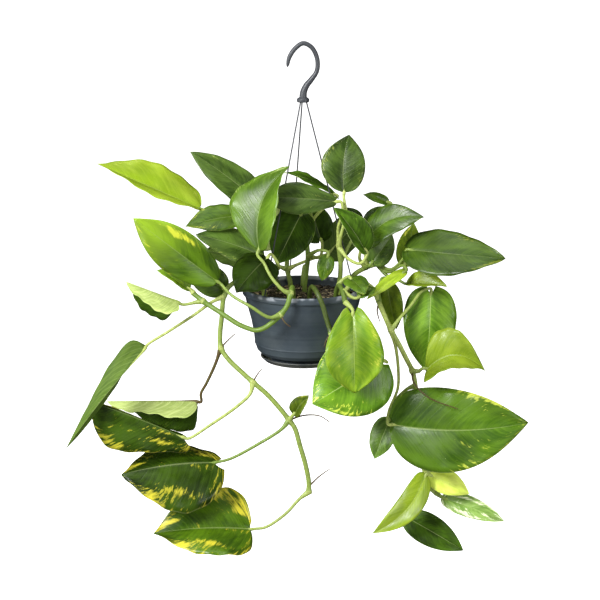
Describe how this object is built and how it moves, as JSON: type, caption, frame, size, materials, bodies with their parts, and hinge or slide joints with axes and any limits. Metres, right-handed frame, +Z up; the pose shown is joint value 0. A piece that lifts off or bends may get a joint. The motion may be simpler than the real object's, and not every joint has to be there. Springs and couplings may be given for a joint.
{
  "type": "potted pothos plant",
  "caption": "Trailing golden pothos in a dark hanging nursery pot with a clip-on drip tray, soil, and a hook on three strands.",
  "frame": {"origin": "the seat at the top inside the hook's bend, where a rail or ceiling hook carries the plant", "axes": "+Z up, the hanger's strands and the vines hang towards -Z, +X to the right and +Y away from a viewer who faces the plant"},
  "size_m": [0.5531, 0.2694, 0.6337],
  "materials": {
    "pot_plastic": "dark slate injection-moulded polypropylene, satin",
    "hanger_plastic": "dark grey moulded plastic, satin",
    "soil": "moist dark potting soil with bark and root bits",
    "stem": "smooth pale green living stems, stalks and small new leaves",
    "leaf": "waxy green leaves with yellow streaks and a paler matt underside"
  },
  "bodies": {
    "root": {"hook": "hanger_plastic", "strand_1": "hanger_plastic", "strand_2": "hanger_plastic", "strand_3": "hanger_plastic", "pot": "pot_plastic", "drip_tray": "pot_plastic", "soil": "soil", "vine_front": "stem", "vine_front_leaf_1": "leaf", "vine_front_leaf_2": "leaf", "vine_front_leaf_3": "leaf", "vine_left": "stem", "vine_left_leaf_1": "leaf", "vine_left_leaf_2": "leaf", "vine_left_leaf_3": "leaf", "vine_left_leaf_4": "leaf", "vine_left_leaf_5": "leaf", "vine_left_leaf_6": "leaf", "vine_front_right": "stem", "vine_front_right_leaf_1": "leaf", "shoot_front_right": "stem", "shoot_front_right_leaf_1": "leaf", "shoot_front_right_leaf_2": "leaf", "vine_right": "stem", "vine_right_leaf_1": "leaf", "vine_right_leaf_2": "leaf", "vine_right_leaf_3": "leaf", "vine_right_leaf_4": "leaf", "vine_right_leaf_5": "leaf", "vine_right_leaf_6": "leaf", "vine_right_leaf_7": "leaf", "vine_right_leaf_8": "leaf", "shoot_left": "stem", "shoot_left_leaf_1": "leaf", "shoot_left_leaf_2": "leaf", "shoot_left_leaf_3": "leaf", "shoot_left_leaf_4": "leaf", "shoot_left_leaf_5": "leaf", "shoot_centre": "stem", "shoot_centre_leaf_1": "leaf", "shoot_centre_leaf_2": "leaf", "shoot_centre_leaf_3": "leaf", "shoot_right": "stem", "shoot_right_leaf_1": "leaf", "shoot_right_leaf_2": "leaf", "shoot_right_leaf_3": "leaf", "shoot_far_right": "stem", "shoot_far_right_leaf_1": "leaf", "shoot_far_right_leaf_2": "leaf", "shoot_far_right_leaf_3": "leaf", "shoot_far_right_leaf_4": "leaf", "shoot_far_right_leaf_5": "leaf", "vine_back": "stem", "vine_back_leaf_1": "leaf", "vine_back_leaf_2": "leaf", "shoot_back": "stem", "shoot_back_leaf_1": "leaf", "shoot_back_leaf_2": "leaf", "shoot_back_leaf_3": "leaf"}
  },
  "joints": []
}
